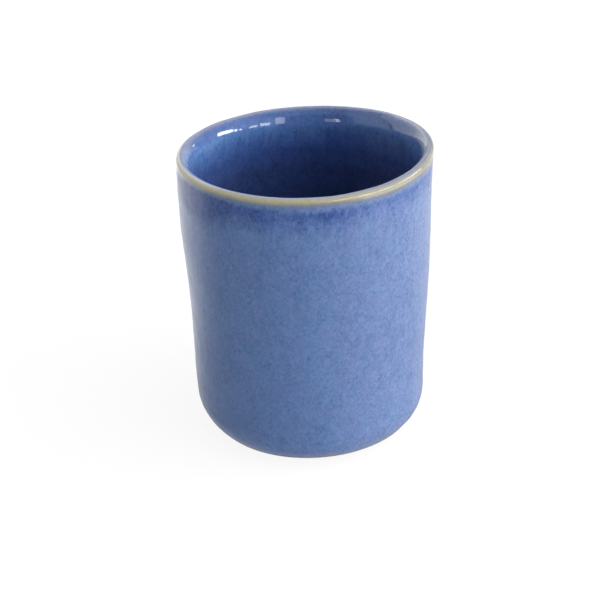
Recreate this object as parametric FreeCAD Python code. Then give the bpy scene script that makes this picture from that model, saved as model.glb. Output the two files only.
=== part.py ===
import FreeCAD, Part
import math
import os

# Handleless shaving mug in glazed stoneware. Millimetres.
# +Z is up. The origin is the centre of the foot, on the plane the mug rests on.
# A fired clay body carries four coats of glaze: outside, lip, inside and under the foot.
# Each coat is its own solid, and its hidden side lies exactly on the clay.
# Profiles are drawn as (radius, height) points and turned about Z.

# Overall size
HEIGHT = 96.0            # foot plane to the crest of the lip
RADIUS_TOP = 40.0        # outside radius just under the lip
RADIUS_BASE = 38.1       # outermost radius of the rounding at the base
BASE_FILLET = 12.4       # radius that rounds the wall into the underside
BASE_RAISE = 0.5         # height of the lowest point of that rounding's circle

# Wall, lip and floor, measured over the glaze
WALL_TOP = 4.4           # wall thickness at the lip
WALL_BASE = 4.9          # wall thickness near the floor
LIP_OUTER_R = 1.3        # small radius on the outer edge of the lip
LIP_DROP = 6.5           # height over which the lip slopes down into the wall
FLOOR_TOP = 7.0          # height of the floor inside
FLOOR_FILLET = 9.0       # radius between the wall and the floor inside

# Foot
FOOT_OUTER_R = 27.2
FOOT_INNER_R = 21.4
FOOT_EDGE = 0.4          # rounding on both edges of the foot ring
RECESS_DEPTH = 2.0       # clay surface under the mug, inside the foot ring
RECESS_DRAFT = 0.5       # how much the recess narrows towards its ceiling

# Glaze
OUTER_COAT = 0.50        # on the outside, thickest low on the wall
LIP_COAT = 0.28          # over the lip, where it runs thin
INNER_COAT = 0.45
FOOT_COAT = 0.40         # in the recess under the foot
LIP_BAND = 2.2           # depth of the band of thin glaze on the outer edge of the lip
GLAZE_STOP_DEG = 36.0    # where the outside coat ends underneath, from straight down
FOOT_GLAZE_R = 19.6      # radius of the coat in the recess
FOOT_GLAZE_FILLET = 0.25 # rounding on the lower edge of that coat

UP = math.pi / 2
DOWN = -math.pi / 2


def point(r, z):
    return FreeCAD.Vector(r, 0.0, z)


def on_circle(centre, radius, angle):
    return (centre[0] + radius * math.cos(angle), centre[1] + radius * math.sin(angle))


def line(start, end):
    return Part.LineSegment(point(*start), point(*end)).toShape()


def arc(centre, radius, start, end):
    angles = (start, (start + end) / 2.0, end)
    return Part.Arc(*[point(*on_circle(centre, radius, a)) for a in angles]).toShape()


def lip_slope(centre, width, height):
    """Quarter ellipse from the crest of the lip, inwards and down to the inner wall."""
    crest = point(centre[0], centre[1] + height)
    inner_end = point(centre[0] - width, centre[1])
    ellipse = Part.Ellipse(crest, inner_end, point(*centre))
    start, end = ellipse.parameter(crest), ellipse.parameter(inner_end)
    return Part.ArcOfEllipse(ellipse, start, end).toShape()


def tangent(low_centre, low_radius, high_centre, high_radius):
    """Line that touches both circles on their +r side: normal angle, low and high point."""
    dr = high_centre[0] - low_centre[0]
    dz = high_centre[1] - low_centre[1]
    angle = math.atan2(dz, dr) - math.acos((low_radius - high_radius) / math.hypot(dr, dz))
    return (angle, on_circle(low_centre, low_radius, angle),
            on_circle(high_centre, high_radius, angle))


def band_point(low, high):
    """Point on the wall line from low to high, at the lower end of the lip band."""
    z = HEIGHT - LIP_BAND
    return (low[0] + (high[0] - low[0]) * (z - low[1]) / (high[1] - low[1]), z)


def turned(edges):
    """Solid of revolution about Z from a closed profile."""
    face = Part.Face(Part.Wire(Part.__sortEdges__(edges)))
    solid = face.revolve(FreeCAD.Vector(0, 0, 0), FreeCAD.Vector(0, 0, 1), 360).Solids[0]
    # The direction of the profile can turn the solid inside out
    if solid.Volume < 0:
        solid.reverse()
    return solid


# Centres shared by the glaze surface and the clay under it
base_centre = (RADIUS_BASE - BASE_FILLET, BASE_FILLET + BASE_RAISE)
edge_centre = (RADIUS_TOP - LIP_OUTER_R, HEIGHT - LIP_OUTER_R)
slope_centre = (edge_centre[0], HEIGHT - LIP_DROP)
slope_width = WALL_TOP - LIP_OUTER_R
floor_centre = (RADIUS_BASE - WALL_BASE - FLOOR_FILLET, FLOOR_TOP + FLOOR_FILLET)

# Clay radii under the glaze
clay_base_r = BASE_FILLET - OUTER_COAT
clay_edge_r = LIP_OUTER_R - LIP_COAT
clay_floor_r = FLOOR_FILLET + INNER_COAT

# Outside wall: glaze surface and clay surface
glaze_angle, glaze_low, glaze_high = tangent(base_centre, BASE_FILLET, edge_centre, LIP_OUTER_R)
clay_angle, clay_low, clay_high = tangent(base_centre, clay_base_r, edge_centre, clay_edge_r)
glaze_band = band_point(glaze_low, glaze_high)
clay_band = band_point(clay_low, clay_high)
glaze_crest = (edge_centre[0], HEIGHT)
clay_crest = (edge_centre[0], HEIGHT - LIP_COAT)

# Inside wall: each line runs from the floor fillet to the foot of the lip slope
inner_glaze_top = (slope_centre[0] - slope_width, slope_centre[1])
inner_clay_top = (inner_glaze_top[0] + INNER_COAT, slope_centre[1])
inner_glaze_angle, inner_glaze_low, _ = tangent(floor_centre, FLOOR_FILLET, inner_glaze_top, 0.0)
inner_clay_angle, inner_clay_low, _ = tangent(floor_centre, clay_floor_r, inner_clay_top, 0.0)

# Floor on the axis
glaze_floor_axis = (0.0, FLOOR_TOP)
clay_floor_axis = (0.0, FLOOR_TOP - INNER_COAT)


def inner_clay_edges():
    """Clay surface inside, from the axis out along the floor and up to the crest."""
    return [
        line(clay_floor_axis, (floor_centre[0], FLOOR_TOP - INNER_COAT)),
        arc(floor_centre, clay_floor_r, DOWN, inner_clay_angle),
        line(inner_clay_low, inner_clay_top),
        lip_slope(slope_centre, slope_width - INNER_COAT, LIP_DROP - LIP_COAT),
    ]


def stoneware_body():
    """Fired clay, bare on the foot ring and just above it."""
    foot_angle = -math.acos((FOOT_OUTER_R - base_centre[0]) / clay_base_r)
    foot_join = on_circle(base_centre, clay_base_r, foot_angle)
    ring_outer = (FOOT_OUTER_R - FOOT_EDGE, FOOT_EDGE)
    ring_inner = (FOOT_INNER_R + FOOT_EDGE, FOOT_EDGE)
    recess_corner = (FOOT_INNER_R - RECESS_DRAFT, RECESS_DEPTH)
    recess_axis = (0.0, RECESS_DEPTH)
    return turned([
        # outside, from the crest down to the foot
        arc(edge_centre, clay_edge_r, UP, clay_angle),
        line(clay_high, clay_low),
        arc(base_centre, clay_base_r, clay_angle, foot_angle),
        # foot ring with rounded edges
        line(foot_join, (FOOT_OUTER_R, FOOT_EDGE)),
        arc(ring_outer, FOOT_EDGE, 0.0, DOWN),
        line((ring_outer[0], 0.0), (ring_inner[0], 0.0)),
        arc(ring_inner, FOOT_EDGE, DOWN, -math.pi),
        # recess, then up the axis to the floor
        line((FOOT_INNER_R, FOOT_EDGE), recess_corner),
        line(recess_corner, recess_axis),
        line(recess_axis, clay_floor_axis),
    ] + inner_clay_edges())


def outer_glaze():
    """Coat on the outside wall, below the lip band."""
    stop = math.radians(GLAZE_STOP_DEG - 90.0)
    return turned([
        line(glaze_band, glaze_low),
        arc(base_centre, BASE_FILLET, glaze_angle, stop),
        line(on_circle(base_centre, BASE_FILLET, stop), on_circle(base_centre, clay_base_r, stop)),
        arc(base_centre, clay_base_r, stop, clay_angle),
        line(clay_low, clay_band),
        line(clay_band, glaze_band),
    ])


def rim_glaze():
    """Thin band over the outer edge of the lip, up to the crest."""
    return turned([
        line(glaze_band, glaze_high),
        arc(edge_centre, LIP_OUTER_R, glaze_angle, UP),
        line(glaze_crest, clay_crest),
        arc(edge_centre, clay_edge_r, UP, clay_angle),
        line(clay_high, clay_band),
        line(clay_band, glaze_band),
    ])


def inner_glaze():
    """Coat on the sloped lip, the inside wall and the floor."""
    return turned([
        lip_slope(slope_centre, slope_width, LIP_DROP),
        line(inner_glaze_top, inner_glaze_low),
        arc(floor_centre, FLOOR_FILLET, inner_glaze_angle, DOWN),
        line((floor_centre[0], FLOOR_TOP), glaze_floor_axis),
        line(glaze_floor_axis, clay_floor_axis),
    ] + inner_clay_edges() + [line(clay_crest, glaze_crest)])


def foot_glaze():
    """Disc in the recess under the foot, rounded on its lower edge."""
    bottom = RECESS_DEPTH - FOOT_COAT
    disc = Part.makeCylinder(FOOT_GLAZE_R, FOOT_COAT, FreeCAD.Vector(0, 0, bottom))
    lower_edge = [edge for edge in disc.Edges
                  if edge.Curve.TypeId == "Part::GeomCircle"
                  and abs(edge.CenterOfMass.z - bottom) < 1e-6]
    return disc.makeFillet(FOOT_GLAZE_FILLET, lower_edge).Solids[0]


os.makedirs("parts", exist_ok=True)
for build in (stoneware_body, outer_glaze, rim_glaze, inner_glaze, foot_glaze):
    build().exportStep("parts/%s.step" % build.__name__)
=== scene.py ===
"""A glazed stoneware mug without a handle, on a pale floor.

It stands on z = 0 with its axis on Z. The camera looks from -Y, with +X on its right. Shapes are
worked out in millimetres and become metres when a mesh is made. The mug is a clay body with four
coats of glaze: outside wall, band on the lip, inside, and a pool under the foot.
"""
import math

import bpy
import numpy as np
from mathutils import Matrix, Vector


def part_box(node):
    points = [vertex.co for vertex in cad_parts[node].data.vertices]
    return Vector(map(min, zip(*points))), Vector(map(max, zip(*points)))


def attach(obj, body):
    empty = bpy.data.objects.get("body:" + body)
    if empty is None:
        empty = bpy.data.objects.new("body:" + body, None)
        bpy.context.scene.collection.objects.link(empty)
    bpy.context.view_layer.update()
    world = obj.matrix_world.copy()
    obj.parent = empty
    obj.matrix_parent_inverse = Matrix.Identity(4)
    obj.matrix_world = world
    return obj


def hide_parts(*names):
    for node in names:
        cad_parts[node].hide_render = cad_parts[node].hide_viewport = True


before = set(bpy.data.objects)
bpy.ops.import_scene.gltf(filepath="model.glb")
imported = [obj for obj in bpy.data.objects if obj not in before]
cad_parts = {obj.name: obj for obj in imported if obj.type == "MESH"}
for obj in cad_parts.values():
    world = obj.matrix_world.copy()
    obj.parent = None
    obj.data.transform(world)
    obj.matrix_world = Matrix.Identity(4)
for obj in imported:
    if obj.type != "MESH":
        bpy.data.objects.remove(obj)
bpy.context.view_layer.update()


def box_mm(node):
    low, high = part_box(node)
    return np.array(low) * 1000.0, np.array(high) * 1000.0


rim_low, rim_high = box_mm("rim_glaze")
inner_low, _ = box_mm("inner_glaze")
foot_low, foot_high = box_mm("foot_glaze")

# --- Sizes, mm -----------------------------------------------------------------------------------
HEIGHT = float(rim_high[2])                # crest of the lip
SEAM_Z = float(rim_low[2])                 # lower edge of the band on the lip
TOP_R, BASE_R = 40.0, 38.1
TOP_WALL, BASE_WALL = 4.4, 4.9             # wall thickness
BASE_FILLET, BASE_RAISE = 12.4, 0.5
EDGE_FILLET, LIP_DROP = 1.3, 6.5           # outer edge of the lip; depth of its inner slope
OUTER_COAT, LIP_COAT, INNER_COAT = 0.50, 0.28, 0.45
CLAY_FILLET = BASE_FILLET - OUTER_COAT
FLOOR_Z, FLOOR_FILLET = float(inner_low[2]) + INNER_COAT, 9.0
FOOT_OUTER, FOOT_INNER, FOOT_FILLET = 27.2, 21.4, 0.4
RECESS_Z, RECESS_R, RECESS_FILLET = float(foot_high[2]), 20.9, 0.35
POOL_R, POOL_Z = float(foot_high[0]), float(foot_low[2])
STOP_ANGLE = math.radians(36.0 - 90.0)     # on the base rounding, where the outside coat stops
CLAY_JOIN = math.radians(-46.0)            # on the same rounding, where the clay's two curves meet
AXIS_GAP = 1.3                             # from the last clay ring of the floor to the axis

# --- Mesh counts ---------------------------------------------------------------------------------
ROUND = 448                                # vertices in a ring where the mug is wide
HALVINGS = (17.0, 8.5, 4.2, 2.1)           # radii below which the count halves again
EDGE_POINTS, WALL_POINTS, SLOPE_POINTS, FILLET_POINTS = 90, 60, 160, 140

# --- Profiles: polylines (radius, z) -------------------------------------------------------------
QUARTER = math.pi / 2
BASE_CENTRE = (BASE_R - BASE_FILLET, BASE_FILLET + BASE_RAISE)
EDGE_CENTRE = (TOP_R - EDGE_FILLET, HEIGHT - EDGE_FILLET)
SLOPE_CENTRE = (EDGE_CENTRE[0], HEIGHT - LIP_DROP)
FLOOR_CENTRE = (BASE_R - BASE_WALL - FLOOR_FILLET, FLOOR_Z + FLOOR_FILLET)


def on_circle(centre, radius, angle):
    return np.stack([centre[0] + radius * np.cos(angle), centre[1] + radius * np.sin(angle)], -1)


def arc(centre, radius, start, end, count):
    return on_circle(centre, radius, np.linspace(start, end, count))


def straight(start, end, count):
    return np.linspace(np.asarray(start, float), np.asarray(end, float), count)


def tangent_angle(centre0, radius0, centre1, radius1):
    """Angle at which one straight line touches both circles."""
    dx, dz = centre1[0] - centre0[0], centre1[1] - centre0[1]
    return math.atan2(dz, dx) - math.acos((radius0 - radius1) / math.hypot(dx, dz))


class Curve:
    """A polyline in (radius, z), measured by arc length from its first point."""

    def __init__(self, *pieces):
        points = np.vstack(pieces)
        keep = np.r_[True, np.hypot(*np.diff(points, axis=0).T) > 1e-7]
        self.points = points[keep]
        self.arc = np.r_[0.0, np.cumsum(np.hypot(*np.diff(self.points, axis=0).T))]
        self.length = float(self.arc[-1])

    def at(self, along):
        along = np.clip(along, 0.0, self.length)
        return (np.interp(along, self.arc, self.points[:, 0]),
                np.interp(along, self.arc, self.points[:, 1]))

    def lifted(self, along, height, side, reach=0.01):
        """Points moved off the curve: side 1 is left of its direction of travel, -1 right."""
        radius0, z0 = self.at(along - reach)
        radius1, z1 = self.at(along + reach)
        length = np.maximum(np.hypot(radius1 - radius0, z1 - z0), 1e-12)
        radius, z = self.at(along)
        return (radius - side * ((z1 - z0) / length) * height,
                z + side * ((radius1 - radius0) / length) * height)

    def falls_to(self, z):
        """Arc length where the first, falling part of the curve passes height z."""
        last = int(np.argmin(self.points[:, 1])) + 1
        return np.interp(-z, -self.points[:last, 1], self.arc[:last])


def outside(lip_depth, wall_depth):
    """Crest, lip edge, wall and rounded base, this deep in the glaze; also the wall's angle."""
    edge, base = EDGE_FILLET - lip_depth, BASE_FILLET - wall_depth
    touch = tangent_angle(BASE_CENTRE, base, EDGE_CENTRE, edge)
    curve = Curve(
        arc(EDGE_CENTRE, edge, QUARTER, touch, EDGE_POINTS),
        straight(on_circle(EDGE_CENTRE, edge, touch), on_circle(BASE_CENTRE, base, touch),
                 WALL_POINTS),
        arc(BASE_CENTRE, base, touch, -QUARTER + 0.02, 240))
    return curve, touch


def inside(lip_depth, wall_depth):
    """Crest, sloped lip, wall, fillet and floor to the axis, this deep in the glaze."""
    wide, tall = TOP_WALL - EDGE_FILLET - wall_depth, LIP_DROP - lip_depth
    turn = np.linspace(0, QUARTER, SLOPE_POINTS)
    slope = np.stack([SLOPE_CENTRE[0] - wide * np.sin(turn),
                      SLOPE_CENTRE[1] + tall * np.cos(turn)], -1)
    top = np.array([SLOPE_CENTRE[0] - wide, SLOPE_CENTRE[1]])
    fillet = FLOOR_FILLET + wall_depth
    touch = tangent_angle(FLOOR_CENTRE, fillet, top, 0.0)
    bottom = FLOOR_CENTRE[1] - fillet
    return Curve(
        slope,
        straight(top, on_circle(FLOOR_CENTRE, fillet, touch), WALL_POINTS),
        arc(FLOOR_CENTRE, fillet, touch, -QUARTER, FILLET_POINTS),
        straight((FLOOR_CENTRE[0], bottom), (0.0, bottom), 60))


def underside():
    """Clay from the axis across the recess, round the foot ring and up the base rounding."""
    corner = RECESS_R - RECESS_FILLET
    foot_top = -math.acos((FOOT_OUTER - BASE_CENTRE[0]) / CLAY_FILLET)
    small = FOOT_FILLET
    return Curve(
        straight((0.0, RECESS_Z), (corner, RECESS_Z), 60),
        arc((corner, RECESS_Z - RECESS_FILLET), RECESS_FILLET, QUARTER, 0.15, 14),
        straight((RECESS_R + 0.03, RECESS_Z - 0.45), (FOOT_INNER, small), 14),
        arc((FOOT_INNER + small, small), small, math.pi, 1.5 * math.pi, 18),
        straight((FOOT_INNER + small, 0.0), (FOOT_OUTER - small, 0.0), 40),
        arc((FOOT_OUTER - small, small), small, -QUARTER, 0.0, 18),
        straight((FOOT_OUTER, small), on_circle(BASE_CENTRE, CLAY_FILLET, foot_top), 12),
        arc(BASE_CENTRE, CLAY_FILLET, foot_top, CLAY_JOIN, 90))


GLAZE_OUT, GLAZE_TOUCH = outside(0.0, 0.0)
CLAY_OUT, CLAY_TOUCH = outside(LIP_COAT, OUTER_COAT)
GLAZE_IN, CLAY_IN = inside(0.0, 0.0), inside(LIP_COAT, INNER_COAT)
UNDER = underside()

# Arc lengths where parts of the curves end. Each joint's doubled point is kept once.
GLAZE_BASE = float(GLAZE_OUT.arc[EDGE_POINTS + WALL_POINTS - 2])
CLAY_BASE = float(CLAY_OUT.arc[EDGE_POINTS + WALL_POINTS - 2])
SLOPE_END = float(GLAZE_IN.arc[SLOPE_POINTS - 1])
FLOOR_START = float(GLAZE_IN.arc[SLOPE_POINTS + WALL_POINTS + FILLET_POINTS - 3])

# --- Hand-made unevenness ------------------------------------------------------------------------
# The outline leans and swells, it is a little out of round, and the rim rises to one side.
# The same warp moves every piece. Amplitudes in mm.
SWELL = (0.0227, -0.1768, 0.0573, 0.1357, -0.0561)     # cosines up the height
# Lobes round the mug: (cosine at the foot, its growth to the rim, sine, its growth)
LOBES = {2: (0.0420, -0.0448, -0.3836, 0.1314), 3: (0.3313, -0.0356, -0.0079, 0.2219)}
LEAN = (-0.2187, -0.3872, -0.1254, -0.3225)            # along X: straight, then three sines
RIM = {1: (1.0123, 0.4774), 2: (0.1690, 0.3895), 3: (0.1058, -0.0102)}  # rise: (cosine, sine)


def warp(radius, angle, z):
    up = np.clip(z / HEIGHT, 0.0, 1.0)
    out = sum(size * np.cos(k * np.pi * up) for k, size in enumerate(SWELL))
    for count, (cos0, cos1, sin0, sin1) in LOBES.items():
        out = (out + (cos0 + cos1 * up) * np.cos(count * angle)
               + (sin0 + sin1 * up) * np.sin(count * angle))
    out = out * np.clip(radius / 38.0, 0.0, 1.2)
    lean = (LEAN[0] * up + LEAN[1] * np.sin(np.pi * up) + LEAN[2] * np.sin(2 * np.pi * up)
            + LEAN[3] * np.sin(3 * np.pi * up))
    rise = sum(cos * np.cos(count * angle) + sin * np.sin(count * angle)
               for count, (cos, sin) in RIM.items())
    return np.stack([(radius + out) * np.cos(angle) + lean, (radius + out) * np.sin(angle),
                     z + rise * up * up], -1)


rng = np.random.default_rng(1907)


def waves(count, shortest, longest):
    """Fixed plane waves for a smooth relief, with wavelengths within limits in mm."""
    heading = rng.normal(size=(count, 3))
    heading /= np.linalg.norm(heading, axis=1, keepdims=True)
    length = np.exp(rng.uniform(math.log(shortest), math.log(longest), count))
    return heading * (2 * math.pi / length)[:, None], rng.uniform(0, 2 * math.pi, count)


LONG_WAVES = waves(14, 9, 22)
MIDDLE_WAVES = waves(22, 3.4, 7)
FINE_WAVES = waves(34, 1.7, 3.0)
CLAY_WAVES = waves(40, 1.1, 2.6)


def field(points, wave_set):
    heading, phase = wave_set
    return np.sin(points @ heading.T + phase).sum(-1) / math.sqrt(len(phase) / 2.0)


def in_space(radius, angle, z):
    return np.stack([radius * np.cos(angle), radius * np.sin(angle), z], -1)


def ease(x, low, high):
    """0 at low, 1 at high, with a smooth step between."""
    share = np.clip((x - low) / (high - low), 0.0, 1.0)
    return share * share * (3 - 2 * share)


def quarter_round(depth, width):
    """Rises from 0 to 1 over width like a quarter of an ellipse."""
    return np.sqrt(np.clip(1 - (1 - np.clip(depth / width, 0, 1)) ** 2, 0, 1))


def wavy_line(angle, seed, sizes):
    """A smooth wavy line round the mug; sizes gives the amplitude for each count of waves."""
    phases = np.random.default_rng(seed)
    return sum(size * np.sin(count * angle + phases.uniform(0, 2 * math.pi))
               for count, size in sizes.items())


def relief(radius, angle, z, crest):
    """Height of the glaze over its plain profile. crest is the distance from the crest of the
    lip, positive down the outside and negative down the inside."""
    points = in_space(radius, angle, z)
    outer, inner = ease(crest, 0.5, 6.0), ease(-crest, 0.5, 8.0)
    lip = 1.0 - np.maximum(outer, inner)
    height = (0.030 * field(points, LONG_WAVES)
              + (0.016 + 0.012 * inner) * field(points, MIDDLE_WAVES)
              + 0.004 * field(points, FINE_WAVES))
    # faint throwing rings, a slow spiral up the wall: 6.1 mm apart outside, 7.3 mm inside
    turn = angle / (2 * math.pi)
    height = height + (outer * 0.022 * np.sin(2 * math.pi * (z / 6.1 - turn))
                       * (0.55 + 0.45 * np.sin(z / 13.0 + 1.0)))
    height = height + (inner * 0.055 * np.sin(2 * math.pi * (z / 7.3 - turn))
                       * (0.6 + 0.4 * np.sin(z / 11.0)))
    # calmer on the lip and its inner slope
    height = height * (1.0 - 0.35 * lip) * (
        1.0 - 0.65 * ease(-crest, 0.3, 2.5) * (1.0 - ease(-crest, 9.0, 15.0)))
    # the coat is fuller under the shoulder of the lip
    return height + 0.20 * ease(-crest, 2.0, 6.5) * (1.0 - ease(-crest, 7.5, 18.0))


# --- Rings sewn into meshes ----------------------------------------------------------------------
def angles_at(radius):
    """Angles of the vertices in a ring of this radius."""
    count = ROUND
    for limit in HALVINGS:
        if radius < limit:
            count //= 2
    return np.arange(count) * (2 * math.pi / count)


class Rings:
    """Rings of vertices from which a mesh is sewn. A pole is a ring of one vertex."""

    def __init__(self):
        self.points, self.crest, self.start, self.count = [], [], [], []
        self.total = 0

    def add(self, angle, radius, z, crest):
        radius, z, crest = (np.broadcast_to(np.asarray(value, float), angle.shape)
                            for value in (radius, z, crest))
        self.points.append(warp(radius, angle, z))
        self.crest.append(np.array(crest))
        self.start.append(self.total)
        self.count.append(len(angle))
        self.total += len(angle)

    def add_plain(self, curve, along, crest):
        """A ring that lies on a curve all the way round."""
        radius, z = curve.at(along)
        self.add(angles_at(radius), radius, z, crest)

    def pole(self, z, crest):
        self.add(np.zeros(1), 0.0, z, crest)

    def sew(self, first, second):
        """Faces between two rings with equal counts, or one double the other, or a pole."""
        a0, a_count = self.start[first], self.count[first]
        b0, b_count = self.start[second], self.count[second]
        if a_count == b_count == 1:
            return []                       # two poles, one on each side of a coat
        if a_count == b_count:
            k = np.arange(a_count)
            after = (k + 1) % a_count
            quads = np.stack([a0 + k, a0 + after, b0 + after, b0 + k], -1)
            return [tuple(quad) for quad in quads.tolist()]
        if b_count == 1:
            return [(a0 + k, a0 + (k + 1) % a_count, b0) for k in range(a_count)]
        if a_count == 1:
            return [(a0, b0 + (k + 1) % b_count, b0 + k) for k in range(b_count)]
        if a_count > b_count:
            return self.sew_half(a0, a_count, b0, b_count)
        return [(v, u, w) for u, v, w in self.sew_half(b0, b_count, a0, a_count)]

    @staticmethod
    def sew_half(fine, fine_count, coarse, coarse_count):
        faces = []
        for k in range(coarse_count):
            fine0, fine1 = fine + 2 * k, fine + 2 * k + 1
            fine2 = fine + (2 * k + 2) % fine_count
            coarse0, coarse1 = coarse + k, coarse + (k + 1) % coarse_count
            faces += [(fine0, fine1, coarse0), (fine1, coarse1, coarse0),
                      (fine1, fine2, coarse1)]
        return faces

    def object(self, name, closed):
        """The mesh object, in metres. closed sews the last ring to the first."""
        faces = []
        for k in range(len(self.count) - 1):
            faces += self.sew(k, k + 1)
        if closed:
            faces += self.sew(len(self.count) - 1, 0)
        points = np.concatenate(self.points) / 1000.0
        triangles = np.array([(face[0], face[k], face[k + 1])
                              for face in faces for k in range(1, len(face) - 1)])
        a, b, c = (points[triangles[:, k]] for k in range(3))
        if np.einsum("ij,ij->i", a, np.cross(b, c)).sum() < 0:     # inside out
            faces = [face[::-1] for face in faces]
        mesh = bpy.data.meshes.new(name)
        mesh.from_pydata(points.tolist(), [], faces)
        mesh.validate()
        rim_mm = mesh.attributes.new("rim_mm", "FLOAT", "POINT")
        rim_mm.data.foreach_set("value", np.concatenate(self.crest).astype(np.float32))
        mesh.polygons.foreach_set("use_smooth", np.ones(len(mesh.polygons), bool))
        mesh.set_sharp_from_angle(angle=math.radians(38))
        mesh.update()
        made = bpy.data.objects.new(name, mesh)
        bpy.context.scene.collection.objects.link(made)
        return made


# --- Outside coat and the band on the lip --------------------------------------------------------
TURN = angles_at(TOP_R)
# the wavy seam between the two, and the wavy stop near the foot, as arc lengths from the crest
seam_z = SEAM_Z + wavy_line(TURN, 11, {3: 0.08, 5: 0.06, 8: 0.05, 13: 0.03})
GLAZE_SEAM, CLAY_SEAM = GLAZE_OUT.falls_to(seam_z), CLAY_OUT.falls_to(seam_z)
STOP = GLAZE_BASE + BASE_FILLET * (GLAZE_TOUCH - (STOP_ANGLE + np.radians(wavy_line(
    TURN, 12, {2: 0.5, 3: 0.5, 5: 0.45, 7: 0.4, 12: 0.3, 19: 0.22, 31: 0.12}))))
CLAY_STOP = CLAY_BASE + CLAY_FILLET * ((STOP - GLAZE_BASE) / BASE_FILLET
                                       + (CLAY_TOUCH - GLAZE_TOUCH))
# distances of the closely set rings from the stop and from the seam
STOP_ROWS = (0.0, 0.012, 0.035, 0.075, 0.13, 0.2, 0.28, 0.38, 0.5, 0.65, 0.85, 1.1, 1.4, 1.75,
             2.2, 2.7)
SEAM_ROWS = (0.95, 0.68, 0.46, 0.3, 0.18, 0.1, 0.05, 0.02, 0.0)
# shares of the way from the seam to the crest
BAND_ROWS = np.concatenate([[0.0, 0.006, 0.016, 0.033, 0.06], np.linspace(0.1, 0.9, 25),
                            [0.94, 0.967, 0.984, 0.994, 1.0]])


def coat_edge(depth):
    """Thickness of the outside coat this far above its stop: rounded, then a slight roll."""
    roll = 0.26 * np.exp(-((depth - 1.0) / 0.75) ** 2) * ease(depth, 0.0, 0.5)
    rounded = np.where(depth < 0.42, quarter_round(depth, 0.42), 1.0)
    return OUTER_COAT * rounded + roll


def add_outer(rings, along):
    radius, z = GLAZE_OUT.at(along)
    depth = np.clip(STOP - along, 0.0, None)
    edge = np.where(depth < 6.0, coat_edge(depth) - OUTER_COAT, 0.0)
    bump = relief(radius, TURN, z, along) * ease(depth, 0.0, 2.5)
    rings.add(TURN, *GLAZE_OUT.lifted(along, edge + bump, side=1), along)


def add_clay_side(rings, along):
    rings.add(TURN, *CLAY_OUT.at(along), along)


def make_outer():
    rings = Rings()
    low, high = STOP - STOP_ROWS[-1], GLAZE_SEAM + SEAM_ROWS[0]
    for depth in STOP_ROWS:
        add_outer(rings, STOP - depth)
    for share in np.linspace(0.0, 1.0, 150)[1:]:
        add_outer(rings, low + (high - low) * share)
    for depth in SEAM_ROWS[1:]:
        add_outer(rings, GLAZE_SEAM + depth)
    for share in np.linspace(0.0, 1.0, 26)[:-1]:
        add_clay_side(rings, CLAY_SEAM + (CLAY_STOP - CLAY_SEAM) * share)
    return rings.object("outer_glaze_coat", closed=True)


def make_rim():
    rings = Rings()
    for share in BAND_ROWS:
        add_outer(rings, GLAZE_SEAM * (1.0 - share))
    for share in np.linspace(0.0, 1.0, 12):
        add_clay_side(rings, CLAY_SEAM * share)
    return rings.object("rim_glaze_band", closed=True)


# --- Inside coat ---------------------------------------------------------------------------------
def make_inner():
    rings = Rings()
    first, step = 0.3, 0.3
    slope_end, wall_end = SLOPE_END + 1.5, FLOOR_START - 14.0
    rows = np.unique(np.round(np.concatenate([
        [0.0, 0.02, 0.05, 0.1, 0.18],
        np.linspace(first, slope_end, int(round((slope_end - first) / step)) + 1),
        np.linspace(slope_end, wall_end, 86),
        np.linspace(wall_end, FLOOR_START, 24),
        np.linspace(FLOOR_START, GLAZE_IN.length - 1.1, 34)]), 6))
    for row in rows:
        angle = angles_at(GLAZE_IN.at(row)[0])
        along = np.full(angle.shape, row)
        radius, z = GLAZE_IN.at(along)
        height = relief(radius, angle, z, -along) * ease(radius, 0.5, 9.0)
        rings.add(angle, *GLAZE_IN.lifted(along, height, side=-1), -row)
    rings.pole(FLOOR_Z, -GLAZE_IN.length)
    rings.points[-1] = rings.points[-2].mean(axis=0, keepdims=True)
    rings.pole(FLOOR_Z - INNER_COAT, -CLAY_IN.length)
    for row in np.concatenate([np.linspace(CLAY_IN.length - AXIS_GAP, FLOOR_START, 12),
                               np.linspace(FLOOR_START, 0.0, 26)[1:]]):
        rings.add_plain(CLAY_IN, row, -row)
    return rings.object("inner_glaze_coat", closed=True)


# --- Pool of glaze in the recess under the foot --------------------------------------------------
def pool_edge(angle):
    return POOL_R - 0.15 + wavy_line(angle, 21, {2: 0.06, 3: 0.05, 5: 0.04, 9: 0.03})


def add_pool(rings, angle, radius):
    """The pool hangs from the ceiling of the recess, a touch thicker near its rounded edge."""
    depth = np.clip(pool_edge(angle) - radius, 0.0, None)
    rounded = quarter_round(depth, 0.5)
    points = in_space(radius, angle, np.zeros_like(radius))
    thick = ((RECESS_Z - POOL_Z) * rounded
             + 0.10 * np.exp(-((depth - 1.2) / 0.9) ** 2) * rounded)
    thick = thick + (0.018 * field(points, LONG_WAVES)
                     + 0.010 * field(points, MIDDLE_WAVES)) * ease(depth, 0.1, 2.0)
    rings.add(angle, radius, RECESS_Z - thick, 0.0)


def make_pool():
    rings = Rings()
    rings.pole(POOL_Z, 0.0)
    for radius in np.concatenate([np.linspace(1.0, POOL_R - 1.6, 30),
                                  POOL_R - np.array([1.3, 1.05, 0.85])]):
        angle = angles_at(radius)
        add_pool(rings, angle, np.full(angle.shape, radius))
    for depth in (0.55, 0.42, 0.32, 0.23, 0.15, 0.09, 0.045, 0.015, 0.0):
        add_pool(rings, TURN, pool_edge(TURN) - depth)
    for radius in (18.2, 16.0, 12.0, 8.0, 4.0, 2.0, 1.0):
        rings.add(angles_at(radius), radius, RECESS_Z, 0.0)
    rings.pole(RECESS_Z, 0.0)
    return rings.object("foot_glaze_pool", closed=False)


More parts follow.
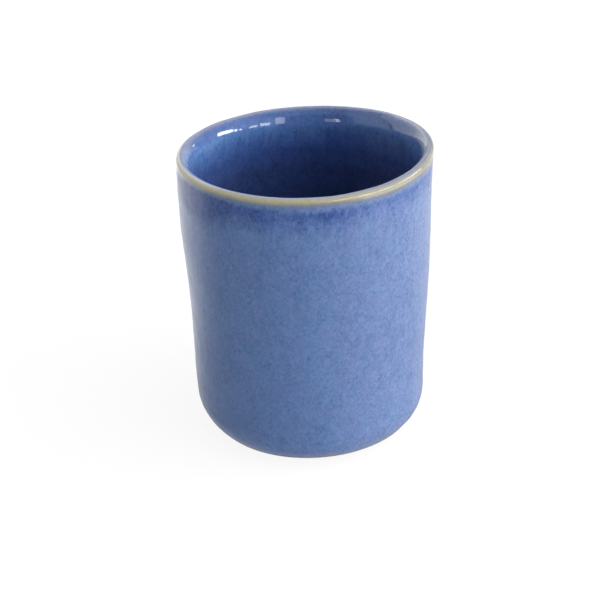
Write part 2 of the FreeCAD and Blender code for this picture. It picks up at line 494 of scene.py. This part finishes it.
# --- Clay body -----------------------------------------------------------------------------------
def add_under(rings, row):
    angle = angles_at(UNDER.at(row)[0])
    along = np.full(angle.shape, row)
    radius, z = UNDER.at(along)
    points = in_space(radius, angle, z)
    # turned lines left by the trimming tool, and a dragged, slightly torn grain
    cut = 0.022 * np.sin(2 * math.pi * (radius / 0.95 + 0.25 * np.sin(2 * angle + 1.0))
                         + 0.9 * np.sin(3 * angle))
    grain = 0.030 * field(points, CLAY_WAVES) + 0.02 * field(points, FINE_WAVES)
    bare = (ease(along, RECESS_R - 6.0, RECESS_R - 2.0)
            * (1 - ease(along, UNDER.length - 2.5, UNDER.length - 0.5)))
    height = np.minimum(cut + grain - 0.055, 0.0) * bare
    rings.add(angle, *UNDER.lifted(along, height, side=-1, reach=0.03), 0.0)


def make_body():
    rings = Rings()
    rings.pole(RECESS_Z, 0.0)
    rows = np.unique(np.round(np.concatenate([
        np.linspace(1.1, RECESS_R - 2.0, 16),
        np.linspace(RECESS_R - 2.0, RECESS_R - 0.45, 6),
        np.linspace(RECESS_R - 0.45, RECESS_R + 2.6, 24),
        np.linspace(RECESS_R + 2.6, UNDER.length, 86)]), 6))
    for row in rows:
        add_under(rings, row)
    join = CLAY_BASE + CLAY_FILLET * (CLAY_TOUCH - CLAY_JOIN)
    for row in np.linspace(join, 0.0, 44)[1:-1]:
        rings.add_plain(CLAY_OUT, row, row)
    for row in np.concatenate([np.linspace(0.0, FLOOR_START, 34)[:-1],
                               np.linspace(FLOOR_START, CLAY_IN.length - AXIS_GAP, 12)]):
        rings.add_plain(CLAY_IN, row, -row)
    rings.pole(FLOOR_Z - INNER_COAT, -CLAY_IN.length)
    return rings.object("stoneware_body_clay", closed=False)


outer_glaze = make_outer()
rim_glaze = make_rim()
inner_glaze = make_inner()
foot_glaze = make_pool()
clay_body = make_body()


# --- Shader nodes --------------------------------------------------------------------------------
class Nodes:
    """The node tree of a material or world. at is a range of input, to the range it becomes."""

    def __init__(self, owner, output):
        owner.use_nodes = True
        self.owner, self.tree = owner, owner.node_tree
        self.tree.nodes.clear()
        self.output = self.node(output)

    def put(self, socket, value):
        if isinstance(value, bpy.types.NodeSocket):
            self.tree.links.new(value, socket)
        elif isinstance(value, tuple) and len(value) == 3 and socket.type == "RGBA":
            socket.default_value = (*value, 1.0)
        else:
            socket.default_value = value

    def node(self, kind, inputs=None, **settings):
        made = self.tree.nodes.new("ShaderNode" + kind)
        for key, value in settings.items():
            setattr(made, key, value)
        for key, value in (inputs or {}).items():
            self.put(made.inputs[key], value)
        return made

    def math(self, operation, a, b=0.0):
        return self.node("Math", {0: a, 1: b, 2: 0.0}, operation=operation).outputs[0]

    def add(self, a, b):
        return self.math("ADD", a, b)

    def sub(self, a, b):
        return self.math("SUBTRACT", a, b)

    def mul(self, a, b):
        return self.math("MULTIPLY", a, b)

    def line(self, x, at=(0.0, 1.0), to=(0.0, 1.0), shape="LINEAR"):
        return self.node("MapRange", {
            "Value": x, "From Min": at[0], "From Max": at[1], "To Min": to[0], "To Max": to[1],
        }, interpolation_type=shape).outputs[0]

    def step(self, x, at, to=(0.0, 1.0)):
        return self.line(x, at, to, shape="SMOOTHSTEP")

    def mix(self, share, a, b, blend="MIX"):
        made = self.node("Mix", data_type="RGBA", blend_type=blend)
        for key, value in ((0, share), (6, a), (7, b)):
            self.put(made.inputs[key], value)
        return made.outputs[2]

    def times(self, colour, other):
        return self.mix(1.0, colour, other, "MULTIPLY")

    def tint(self, colour, share, by):
        """The colour multiplied by another one where share is 1, and left alone where it is 0."""
        return self.times(colour, self.mix(share, (1.0, 1.0, 1.0), by))

    def noise(self, spot, size, detail=2.0, rough=0.5, distort=0.0):
        return self.node("TexNoise", {
            "Vector": spot, "Scale": 1 / size, "Detail": detail, "Roughness": rough,
            "Distortion": distort}).outputs[0]

    def cells(self, spot, size):
        """Distance from the nearest of scattered points."""
        made = self.node("TexVoronoi", {"Vector": spot, "Scale": 1 / size})
        return made.outputs["Distance"]

    def move(self, spot, scale=(1, 1, 1), shift=(0, 0, 0)):
        return self.node("VectorMath", {0: spot, 1: scale, 2: shift},
                         operation="MULTIPLY_ADD").outputs[0]

    def spot_mm(self):
        return self.move(self.node("TexCoord").outputs["Object"], scale=(1000.0,) * 3)

    def part(self, vector, axis):
        return self.node("SeparateXYZ", {0: vector}).outputs[axis]

    def combine(self, x, y, z):
        return self.node("CombineXYZ", {0: x, 1: y, 2: z}).outputs[0]

    def ramp(self, x, stops):
        """A colour that follows x through the given (x, colour) stops."""
        low, high = stops[0][0], stops[-1][0]
        made = self.node("ValToRGB")
        elements = made.color_ramp.elements
        for k, (at, colour) in enumerate(stops):
            place = (at - low) / (high - low)
            if 0 < k < len(stops) - 1:
                element = elements.new(place)
            else:
                element = elements[0 if k == 0 else -1]
            element.position = place
            element.color = (*colour, 1.0)
        self.put(made.inputs[0], self.line(x, at=(low, high)))
        return made.outputs[0]

    def surface(self, colour, rough, height, distance, strength, **others):
        """The principled surface; height makes a bump this many metres deep."""
        bump = self.node("Bump", {"Strength": strength, "Distance": distance, "Height": height})
        shader = self.node("BsdfPrincipled", {
            "Base Color": colour, "Roughness": rough, "Normal": bump.outputs[0], **others})
        self.put(self.output.inputs[0], shader.outputs[0])
        return self.owner


def material(name):
    return Nodes(bpy.data.materials.new(name), "OutputMaterial")


# --- Glaze ---------------------------------------------------------------------------------------
NOISE = (0.25, 0.75)                       # the range that most noise values fill
BLUE = (0.130, 0.235, 0.500)
DARK_BLUE = (0.0975, 0.188, 0.450)
DEEP = (0.30, 0.45, 0.74)                  # multiplies the dark band under the lip
PALE = (0.390, 0.420, 0.500)               # thin milky glaze over the crest
GREY_BROWN = (0.300, 0.275, 0.245)               # grey-brown tint near the lower edge of the outside coat

# Colour of the glaze along the profile: (mm from the crest, colour), negative on the inside
CREST = [(-1.6, (0.135, 0.190, 0.400)), (-1.0, (0.225, 0.275, 0.445)),
         (-0.5, (0.320, 0.355, 0.490)), (0.0, PALE)]
DOWN_OUTSIDE = CREST + [
    (0.50, (0.395, 0.405, 0.435)), (0.85, (0.445, 0.418, 0.320)), (1.30, (0.460, 0.425, 0.255)),
    (1.75, (0.430, 0.388, 0.212)), (2.05, (0.328, 0.312, 0.220)), (2.45, (0.240, 0.262, 0.300)),
    (2.90, (0.172, 0.236, 0.380)), (3.60, (0.148, 0.244, 0.468)), (4.60, BLUE)]
# inside, the colour darkens steeply towards the floor: painted shade where little light reaches
DOWN_INSIDE = [
    (-32.0, (0.030, 0.054, 0.165)), (-21.0, (0.035, 0.064, 0.202)),
    (-15.5, (0.042, 0.085, 0.278)), (-12.5, (0.055, 0.115, 0.350)),
    (-10.0, (0.066, 0.142, 0.402)), (-8.0, (0.086, 0.182, 0.462)), (-6.3, (0.108, 0.222, 0.525)),
    (-5.2, (0.128, 0.240, 0.535)), (-4.2, (0.114, 0.210, 0.500)), (-3.2, (0.098, 0.185, 0.445)),
    (-2.4, (0.088, 0.166, 0.398))] + CREST


def crystals(mat, spot):
    """Brightness of the mottling about 0, and the middle and fine noises it is made of."""
    soft = mat.move(spot, scale=(1.0, 1.0, 0.80))
    slow = mat.noise(spot, size=26.0)
    mid = mat.noise(soft, size=4.6, distort=0.4)
    fine = mat.noise(soft, size=1.05, detail=1.5, rough=0.55, distort=1.1)
    # crystals that wander like worms, broken up, and dark dots
    other = mat.noise(mat.move(soft, shift=(17.0, 53.0, 29.0)), size=1.5, detail=1.0, distort=1.6)
    worms = mat.step(mat.math("ABSOLUTE", mat.sub(other, 0.5)), at=(0.0, 0.055), to=(1.0, 0.0))
    broken = mat.noise(mat.move(spot, shift=(3.0, 71.0, 13.0)), size=1.9, detail=1.0)
    broken = mat.step(broken, at=(0.42, 0.58))
    dots = mat.noise(mat.move(spot, scale=(1.0, 1.0, 0.8), shift=(31.0, 7.0, 3.0)),
                     size=0.95, detail=1.0, distort=0.5)
    level = mat.add(mat.line(slow, at=NOISE, to=(-0.05, 0.05)),
                    mat.line(mid, at=NOISE, to=(-0.115, 0.115)))
    level = mat.add(level, mat.line(fine, at=NOISE, to=(-0.235, 0.215)))
    level = mat.add(level, mat.mul(mat.mul(worms, broken), 0.030))
    return mat.add(level, mat.step(dots, at=(0.575, 0.72), to=(0.0, -0.15))), mid, fine


def wavy_crest(mat, spot, crest):
    """Distance from the crest, made a little uneven so that colour borders waver."""
    slow = mat.line(mat.noise(spot, size=6.0), at=(0.3, 0.7), to=(-0.13, 0.13))
    quick = mat.line(mat.noise(spot, size=1.1), at=(0.3, 0.7), to=(-0.09, 0.09))
    return mat.add(crest, mat.add(slow, quick))


def hue_drift(mat, spot):
    hue = mat.noise(mat.move(spot, shift=(90.0, 40.0, 10.0)), size=5.5)
    flecks = mat.noise(mat.move(spot, shift=(10.0, 140.0, 60.0)), size=1.9)
    tint = mat.mix(mat.step(hue, at=(0.36, 0.64)), (1.050, 0.985, 0.995), (0.955, 1.012, 1.0))
    return mat.mix(mat.step(flecks, at=(0.56, 0.74), to=(0.0, 0.20)), tint, (1.20, 0.99, 1.0))


def calm_part(mat, lip):
    """1 on the thin glaze of the lip, where crystals hardly show."""
    return mat.mul(mat.step(lip, at=(-1.8, -0.4)), mat.step(lip, at=(1.9, 3.6), to=(1.0, 0.0)))


def mottled(mat, colour, tint, level, calm):
    level = mat.mul(level, mat.line(calm, to=(1.0, 0.30)))
    level = mat.math("MAXIMUM", level, -0.55)
    # dark specks are deeper than the pale ones are bright, and paler spots are milkier
    level = mat.sub(level, mat.mul(mat.mul(level, level), 0.40))
    milky = mat.combine(*[mat.add(1.0, mat.mul(level, gain)) for gain in (1.06, 0.80, 0.60)])
    colour = mat.mix(mat.line(calm, to=(1.0, 0.0)), colour, mat.times(colour, tint))
    return mat.times(colour, milky)


def lip_toned(mat, spot, colour, calm, brightness):
    """Slow drift of the thin glaze towards grey, then its brightness, which carries painted light
    and shade.
    """
    drift = mat.noise(mat.move(spot, shift=(8, 8, 8)), size=7.0)
    drift = mat.step(drift, at=(0.35, 0.65))
    colour = mat.tint(colour, mat.mul(calm, drift), (0.96, 0.985, 1.07))
    return mat.times(colour, mat.combine(
        *[mat.line(calm, to=(1.0, brightness)) for _ in range(3)]))


def glazed(mat, colour, rough, mid, fine, distance=0.000013):
    height = mat.add(mat.mul(fine, 0.6), mat.mul(mid, 0.5))
    return mat.surface(colour, rough, height, distance, strength=0.6, IOR=1.5)


def slipped_band(mat, spot, crest):
    """Strength of the dark, streaky, ragged band where glaze slipped from the lip gathers."""
    streak = mat.noise(mat.move(spot, scale=(1.0, 1.0, 0.20)), size=1.0, rough=0.6)
    sweep = mat.noise(mat.move(spot, scale=(1, 1, 0.3), shift=(5, 5, 5)), size=12.0)
    low = mat.add(crest, mat.add(mat.line(sweep, at=NOISE, to=(-2.4, 2.4)),
                                 mat.line(streak, at=NOISE, to=(-2.4, 2.4))))
    start = mat.add(crest, mat.add(mat.line(sweep, at=NOISE, to=(0.5, -0.5)),
                                   mat.line(streak, at=NOISE, to=(0.7, -0.7))))
    start = mat.sub(start, mat.step(mat.part(spot, "X"), at=(-28.0, 0.0), to=(0.0, 1.05)))
    band = mat.sub(mat.step(low, at=(6.5, 8.8), to=(1.0, 0.50)),
                   mat.step(low, at=(8.8, 14.0), to=(0.0, 0.50)))
    band = mat.mul(mat.step(start, at=(2.9, 4.7)), band)
    patch = mat.noise(mat.move(spot, scale=(1, 1, 0.5), shift=(50, 0, 0)), size=15.0, detail=1.0)
    band = mat.mul(band, mat.line(patch, at=(0.32, 0.68), to=(0.50, 1.35)))
    band = mat.mul(band, mat.line(streak, at=(0.28, 0.72), to=(0.60, 1.40)))
    # stronger on the left
    x = mat.part(spot, "X")
    band = mat.mul(band, mat.step(x, at=(-34.0, -17.0), to=(2.2, 0.90)))
    return mat.mul(band, mat.step(x, at=(-8.0, 12.0), to=(1.0, 0.74)))


def outside_glaze(name):
    mat = material(name)
    spot = mat.spot_mm()
    crest = mat.node("Attribute", attribute_name="rim_mm").outputs["Fac"]
    level, mid, fine = crystals(mat, spot)
    lip = wavy_crest(mat, spot, crest)

    # over the outer edge the glaze breaks to ochre, which reaches lower at the right and back
    slip = mat.sub(lip, mat.step(mat.part(spot, "X"), at=(4.0, 27.0), to=(0.0, 0.50)))
    slip = mat.sub(slip, mat.step(mat.part(spot, "Y"), at=(8.0, 26.0), to=(0.0, 0.30)))
    slip = mat.sub(slip, mat.mul(mat.step(mat.part(spot, "X"), at=(6.0, 22.0)),
                                 mat.step(lip, at=(1.3, 2.3), to=(0.0, 0.45))))
    lip = mat.line(mat.step(lip, at=(0.4, 1.0)), to=(lip, slip))
    colour = mat.ramp(lip, DOWN_OUTSIDE)
    # painted highlights: the lower margin of the ochre is painted paler and less yellow at the
    # front right, where short bright reflections fall
    glint_mask = mat.mul(mat.step(mat.part(spot, "X"), at=(11.0, 18.0)),
                     mat.step(mat.part(spot, "X"), at=(36.0, 31.0)))
    glint_mask = mat.mul(glint_mask, mat.step(mat.part(spot, "Y"), at=(0.0, -8.0)))
    glint_mask = mat.mul(glint_mask, mat.mul(mat.step(crest, at=(1.5, 1.95)),
                                     mat.step(crest, at=(3.3, 2.8))))
    colour = mat.tint(colour, glint_mask, (1.18, 1.22, 1.55))

    tint = hue_drift(mat, spot)
    band = slipped_band(mat, spot, crest)
    level = mat.mul(level, mat.add(1.0, mat.mul(mat.math("MINIMUM", band, 1.1), 1.35)))
    tint = mat.tint(tint, band, DEEP)
    # painted light and shade: the coat is painted lighter on the right and darker on the left;
    # lower down it turns grey-brown near its lower edge
    side = mat.step(mat.part(spot, "X"), at=(-12.0, 31.0))
    tint = mat.times(tint, mat.mix(side, (0.795, 0.840, 0.895), (1.300, 1.085, 1.000)))
    low_tint = mat.line(mat.noise(spot, size=9.0), at=(0.3, 0.7), to=(-1.2, 1.2))
    low_tint = mat.step(mat.add(crest, low_tint), at=(91.5, 96.0), to=(0.0, 0.60))
    colour = mat.mix(low_tint, colour, GREY_BROWN)

    calm = calm_part(mat, lip)
    colour = mottled(mat, colour, tint, level, calm)
    # painted light and shade: the lip is painted brighter on the left and darker on the right, and
    # a painted sheen lifts the lower ochre at the front right
    lean = mat.line(mat.part(spot, "X"), at=(-32.0, 32.0), to=(1.30, 0.78))
    lift = mat.mul(mat.step(lip, at=(1.3, 1.9)),
                   mat.step(mat.part(spot, "X"), at=(4.0, 28.0), to=(0.0, 0.22)))
    colour = lip_toned(mat, spot, colour, calm, mat.mul(lean, mat.add(1.0, lift)))
    # satin wall, glossy lip
    gloss = mat.mul(mat.step(crest, at=(-0.9, 0.1)),
                    mat.step(crest, at=(2.2, 4.5), to=(1.0, 0.0)))
    rough = mat.line(gloss, to=(mat.line(fine, at=NOISE, to=(0.255, 0.270)),
                                mat.line(fine, at=NOISE, to=(0.07, 0.11))))
    return glazed(mat, colour, rough, mid, fine)


def inside_glaze(name):
    mat = material(name)
    spot = mat.spot_mm()
    crest = mat.node("Attribute", attribute_name="rim_mm").outputs["Fac"]
    level, mid, fine = crystals(mat, spot)
    lip = wavy_crest(mat, spot, crest)

    # below the slope the colour borders are more ragged
    ragged = mat.noise(mat.move(spot, scale=(1.0, 1.0, 0.35)), size=3.0, rough=0.6)
    ragged = mat.line(ragged, at=NOISE, to=(-1.4, 1.4))
    deep = mat.add(lip, mat.mul(ragged, mat.step(crest, at=(-5.0, -9.0))))
    colour = mat.ramp(deep, DOWN_INSIDE)
    # painted light: paler at the left, where the inside wall faces the light from the right
    x = mat.part(spot, "X")
    left = mat.mul(mat.step(x, at=(-16.0, -33.0)), mat.step(crest, at=(-4.5, -6.5)))
    colour = mat.tint(colour, left, (1.38, 1.30, 1.16))
    # painted shade: darker at the back, just under the crest
    back = mat.mul(mat.step(mat.math("ABSOLUTE", mat.sub(x, 4.0)), at=(7.0, 16.0), to=(1.0, 0.0)),
                   mat.step(mat.part(spot, "Y"), at=(5.0, 15.0)))
    back = mat.mul(back, mat.mul(mat.step(deep, at=(-2.8, -4.0)),
                                 mat.step(deep, at=(-5.0, -7.0), to=(1.0, 0.0))))
    colour = mat.tint(colour, back, (0.62, 0.68, 0.82))
    # painted light: paler at the right, more so further down
    pale = mat.mix(mat.step(crest, at=(-4.5, -8.5)), (1.38, 1.35, 1.30), (2.1, 1.65, 1.32))
    colour = mat.tint(colour, mat.step(x, at=(10.0, 34.0)), pale)
    # painted sheen: at the left and right the pale of the crest is carried further down the slope
    # of the lip
    x_squared = mat.mul(x, x)
    y_squared = mat.mul(mat.part(spot, "Y"), mat.part(spot, "Y"))
    sideways = mat.math("DIVIDE", x_squared, mat.add(x_squared, y_squared))
    sheen_share = mat.mul(mat.step(sideways, at=(0.905, 0.980)),
                   mat.step(lip, at=(-4.3, -2.7), to=(0.0, 0.85)))
    sheen_colour = mat.mix(mat.step(x, at=(-5.0, 5.0)), (0.300, 0.362, 0.535), (0.400, 0.470, 0.610))
    colour = mat.mix(sheen_share, colour, sheen_colour)

    calm = calm_part(mat, lip)
    colour = mottled(mat, colour, hue_drift(mat, spot), level, calm)
    colour = lip_toned(mat, spot, colour, calm, brightness=1.0)
    rough = mat.line(fine, at=NOISE, to=(0.030, 0.050))
    return glazed(mat, colour, rough, mid, fine, distance=0.00002)


def foot_recess_glaze(name):
    mat = material(name)
    spot = mat.spot_mm()
    level, mid, fine = crystals(mat, spot)
    colour = mat.mix(0.0, DARK_BLUE, BLUE)
    colour = mottled(mat, colour, hue_drift(mat, spot), level, calm=0.0)
    return glazed(mat, colour, mat.line(fine, at=NOISE, to=(0.14, 0.22)), mid, fine)


def bare_clay(name):
    mat = material(name)
    spot = mat.spot_mm()
    grain = mat.noise(spot, size=0.45, detail=3.0, rough=0.65)
    cloud = mat.noise(spot, size=6.0)
    grog = mat.cells(spot, size=1.7)
    speck = mat.cells(mat.move(spot, shift=(4, 9, 2)), size=3.1)
    colour = mat.mix(mat.step(cloud, at=(0.3, 0.7)), (0.50, 0.385, 0.275), (0.42, 0.315, 0.225))
    colour = mat.mix(mat.line(grain, at=(0.3, 0.7), to=(0.0, 0.5)), colour, (0.58, 0.47, 0.36))
    colour = mat.mix(mat.step(grog, at=(0.10, 0.20), to=(0.7, 0.0)), colour, (0.66, 0.58, 0.47))
    colour = mat.mix(mat.step(speck, at=(0.045, 0.085), to=(0.85, 0.0)), colour,
                     (0.10, 0.065, 0.045))
    rough = mat.line(grain, at=NOISE, to=(0.78, 0.92))
    height = mat.add(grain, mat.mul(grog, -0.6))
    return mat.surface(colour, rough, height, distance=0.00012, strength=0.7)


# (object, node it replaces, material slot, maker of the material)
for made, node, slot, maker in (
        (outer_glaze, "outer_glaze", "outside_glaze", outside_glaze),
        (rim_glaze, "rim_glaze", "rim_break_glaze", outside_glaze),
        (inner_glaze, "inner_glaze", "inside_glaze", inside_glaze),
        (foot_glaze, "foot_glaze", "foot_recess_glaze", foot_recess_glaze),
        (clay_body, "stoneware_body", "bare_stoneware", bare_clay)):
    made.data.materials.append(maker(slot))
    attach(made, "root")
    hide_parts(node)

# --- Floor ---------------------------------------------------------------------------------------
scene = bpy.context.scene
FLOOR_HALF, FLOOR_LEVEL = 6.0, -0.0001     # metres


def floor_material():
    """Evenly pale to the camera, with a faint shadow, and pale in the glaze; open from below."""
    mat = material("floor")

    def glow(name, strength):
        return mat.node("Emission", {1: strength}, name=name).outputs[0]

    def blend(share, a, b):
        return mat.node("MixShader", {0: share, 1: a, 2: b}).outputs[0]

    diffuse = mat.node("BsdfDiffuse", {0: (0.82, 0.82, 0.82)}).outputs[0]
    plain = mat.node("AddShader", {0: diffuse, 1: glow("floor_glow", 0.06)}).outputs[0]
    path = mat.node("LightPath")
    # reflections see it brighter behind the mug, most of all at the left, and dimmer close by
    spot = mat.node("TexCoord").outputs["Object"]
    away = mat.node("VectorMath", {0: spot}, operation="LENGTH").outputs["Value"]
    behind = mat.step(mat.part(spot, "Y"), at=(-0.03, 0.08))
    behind = mat.mul(behind, mat.step(mat.part(spot, "X"), at=(-0.05, 0.05), to=(0.70, 0.30)))
    shine = glow("floor_shine", mat.mul(mat.add(0.66, behind),
                                        mat.step(away, at=(0.07, 0.25), to=(0.80, 1.0))))
    lit = blend(path.outputs["Is Glossy Ray"], plain, shine)
    lit = blend(path.outputs["Is Camera Ray"], lit, blend(0.82, plain, glow("floor_white", 1.08)))
    lit = blend(mat.node("NewGeometry").outputs["Backfacing"], lit,
                mat.node("BsdfTransparent").outputs[0])
    mat.put(mat.output.inputs[0], lit)
    return mat.owner


floor_mesh = bpy.data.meshes.new("floor")
floor_mesh.from_pydata([(x * FLOOR_HALF, y * FLOOR_HALF, FLOOR_LEVEL)
                        for x, y in ((-1, -1), (1, -1), (1, 1), (-1, 1))], [], [(0, 1, 2, 3)])
floor = bpy.data.objects.new("floor", floor_mesh)
scene.collection.objects.link(floor)
floor_mesh.materials.append(floor_material())


# --- World ---------------------------------------------------------------------------------------
def direction(azimuth, elevation):
    """Azimuth 0 is towards the camera's side (-Y), 90 is +X."""
    turn, lift = math.radians(azimuth), math.radians(elevation)
    return (math.sin(turn) * math.cos(lift), -math.cos(turn) * math.cos(lift), math.sin(lift))


def make_world():
    """An even dim light and a lobe from above that is turned off; the camera sees it bright."""
    world = Nodes(bpy.data.worlds.new("surroundings"), "OutputWorld")

    def math_node(operation, a, b, **settings):
        return world.node("Math", {0: a, 1: b}, operation=operation, **settings).outputs[0]

    generated = world.node("TexCoord").outputs["Generated"]
    one = world.node("Value").outputs[0]
    one.default_value = 1.0
    even = math_node("MULTIPLY", one, 0.24, name="lobe_all")
    facing = world.node("VectorMath", {0: generated, 1: direction(0, 90)},
                        operation="DOT_PRODUCT").outputs["Value"]
    above = math_node("POWER", math_node("MAXIMUM", facing, 0.0), 3)
    above = math_node("MULTIPLY", above, 0.0, name="lobe_top")
    light = world.node("Background", {"Color": (1, 1, 1),
                                      "Strength": math_node("ADD", even, above)})
    bright = world.node("Background", {"Strength": 1.15})
    seen = world.node("MixShader", {0: world.node("LightPath").outputs["Is Camera Ray"],
                                    1: light.outputs[0], 2: bright.outputs[0]})
    world.put(world.output.inputs["Surface"], seen.outputs[0])
    return world.owner


scene.world = make_world()

# --- Lights: flat panels that face the mug -------------------------------------------------------
PANEL_DISTANCE, PANEL_AIM = 1.6, 0.09      # metres; from the aim, and the height of the aim

# Each panel: (name, azimuth from, to, elevation from, to in degrees, radiance)
SOFT = [                                   # light the mug but aren't reflected
    ("low_a", 30, 60, 1.0, 12.0, 1.87), ("low_b", 60, 90, 1.0, 12.0, 2.47),
    ("low_c", 90, 120, 1.0, 12.0, 1.26), ("low_back", 200, 240, 1.0, 12.0, 0.5),
    ("right_a", 30, 60, 12.0, 30.0, 2.33), ("right_b", 60, 90, 12.0, 30.0, 3.27),
    ("right_c", 90, 120, 12.0, 30.0, 1.83), ("right_d", 120, 150, 12.0, 30.0, 0.47),
    ("back_a", 180, 240, 12.0, 30.0, 0.53), ("front_mid", 0, 45, 30.0, 50.0, 0.52),
    ("right_mid_a", 45, 90, 30.0, 50.0, 3.37), ("right_mid_b", 90, 135, 30.0, 50.0, 1.52),
    ("top_a", 0, 90, 50.0, 78.0, 1.83), ("top_b", 90, 180, 50.0, 78.0, 0.99)]
CARDS = [                                  # only reflected
    ("card_right", 20, 150, 12.0, 50.0, 0.5), ("card_top", 0, 90, 50.0, 78.0, 1.1),
    ("card_left", 192, 262, 0.5, 46.0, 1.4), ("card_front_left", 262, 305, 0.5, 46.0, 0.7)]
# The row of far windows, as the satin wall, the edge of the lip and the glossy inside see it
WALL_ROW = [("row_wide", 22, 112, 1.0, 8.0, 5.5)]
EDGE_ROW = [
    ("edge_1", 84, 110, -2.7, 9.0, 10.0), ("edge_2", 66, 79, -2.7, 9.0, 13.0),
    ("edge_3", 45, 61, -2.7, 9.0, 14.0), ("edge_4", 24, 39, -2.7, 9.0, 11.0)]
INSIDE_ROW = [
    ("pane_1", 82, 94, 0.5, 16.5, 26.0), ("pane_2", 72.5, 82, 0.5, 15.5, 26.0),
    ("pane_3", 65.5, 69.5, 0.5, 12.5, 22.0), ("pane_4", 60.0, 63.5, 0.5, 11.5, 14.0),
    ("pane_5", 42.5, 50.0, 0.5, 13.0, 9.0), ("pane_6", 29.0, 38.5, 0.5, 15.5, 8.5),
    ("pane_7", 11.5, 22.0, 0.5, 30.0, 4.5), ("pane_8", -41.0, -37.5, 0.5, 16.0, 7.0),
    ("pane_9", -37.5, -27.0, 0.5, 15.0, 2.3), ("pane_10", 135.5, 139.0, 0.5, 9.0, 5.0)]


def axes_matrix(*columns):
    """A matrix from its x, y and z axes and its origin."""
    matrix = Matrix.Identity(4)
    for row in range(3):
        for k, column in enumerate(columns):
            matrix[row][k] = column[row]
    return matrix


def panel(name, azimuth0, azimuth1, elevation0, elevation1, radiance, glossy, only):
    elevation = (elevation0 + elevation1) / 2
    away = np.array(direction((azimuth0 + azimuth1) / 2, elevation))
    reach = 2 * PANEL_DISTANCE
    width = (reach * math.tan(math.radians(abs(azimuth1 - azimuth0) / 2))
             * math.cos(math.radians(elevation)))
    height = reach * math.tan(math.radians(abs(elevation1 - elevation0) / 2))
    light = bpy.data.lights.new(name, "AREA")
    light.shape = "RECTANGLE"
    light.size, light.size_y = width, height
    light.energy = radiance * width * height * math.pi      # watts for this radiance
    lamp = bpy.data.objects.new(name, light)
    across = np.cross([0, 0, 1], away)
    across = across / np.linalg.norm(across)
    lamp.matrix_world = axes_matrix(across, np.cross(away, across), away,
                                    away * PANEL_DISTANCE + np.array([0, 0, PANEL_AIM]))
    lamp.visible_glossy, lamp.visible_diffuse = glossy, not glossy
    if only is not None:
        lamp.light_linking.receiver_collection = only
    scene.collection.objects.link(lamp)


def receivers(name, piece):
    """A collection that limits a light to one piece."""
    group = bpy.data.collections.new(name)
    group.objects.link(piece)
    return group


shiny_lip = receivers("shiny_lip", inner_glaze)
satin_outside = receivers("satin_outside", outer_glaze)
lip_edge = receivers("lip_edge", rim_glaze)
for rows, glossy, only in ((SOFT, False, None), (CARDS, True, None),
                           (WALL_ROW, True, satin_outside), (EDGE_ROW, True, lip_edge),
                           (INSIDE_ROW, True, shiny_lip)):
    for row in rows:
        panel(*row, glossy=glossy, only=only)

# --- Camera --------------------------------------------------------------------------------------
CAMERA_DISTANCE = 430.0                    # mm, from the middle of the mug along the view
MUG_RIGHT, MUG_DOWN = 2.6835, -4.6560      # mm, the mug's middle from the line of sight
PITCH, ROLL = 0.47382, -0.03243            # radians; pitch is downwards


def make_camera():
    up = np.array([0, math.sin(PITCH), math.cos(PITCH)])
    forward = np.array([0, math.cos(PITCH), -math.sin(PITCH)])
    right = np.array([1.0, 0, 0])
    camera_x = math.cos(ROLL) * right + math.sin(ROLL) * up
    camera_y = -math.sin(ROLL) * right + math.cos(ROLL) * up
    place = (np.array([0, 0, HEIGHT / 2]) - MUG_RIGHT * camera_x + MUG_DOWN * camera_y
             - CAMERA_DISTANCE * forward) / 1000.0
    lens = bpy.data.cameras.new("camera")
    lens.sensor_fit = "HORIZONTAL"
    lens.sensor_width = 36.0
    lens.lens = 78.756
    lens.clip_start, lens.clip_end = 0.01, 50.0
    camera = bpy.data.objects.new("camera", lens)
    camera.matrix_world = axes_matrix(camera_x, camera_y, -forward, place)
    scene.collection.objects.link(camera)
    scene.camera = camera


make_camera()
scene.view_settings.view_transform = "Standard"
scene.view_settings.look = "None"
scene.view_settings.exposure = 0.0
scene.view_settings.gamma = 1.0

bpy.context.view_layer.update()
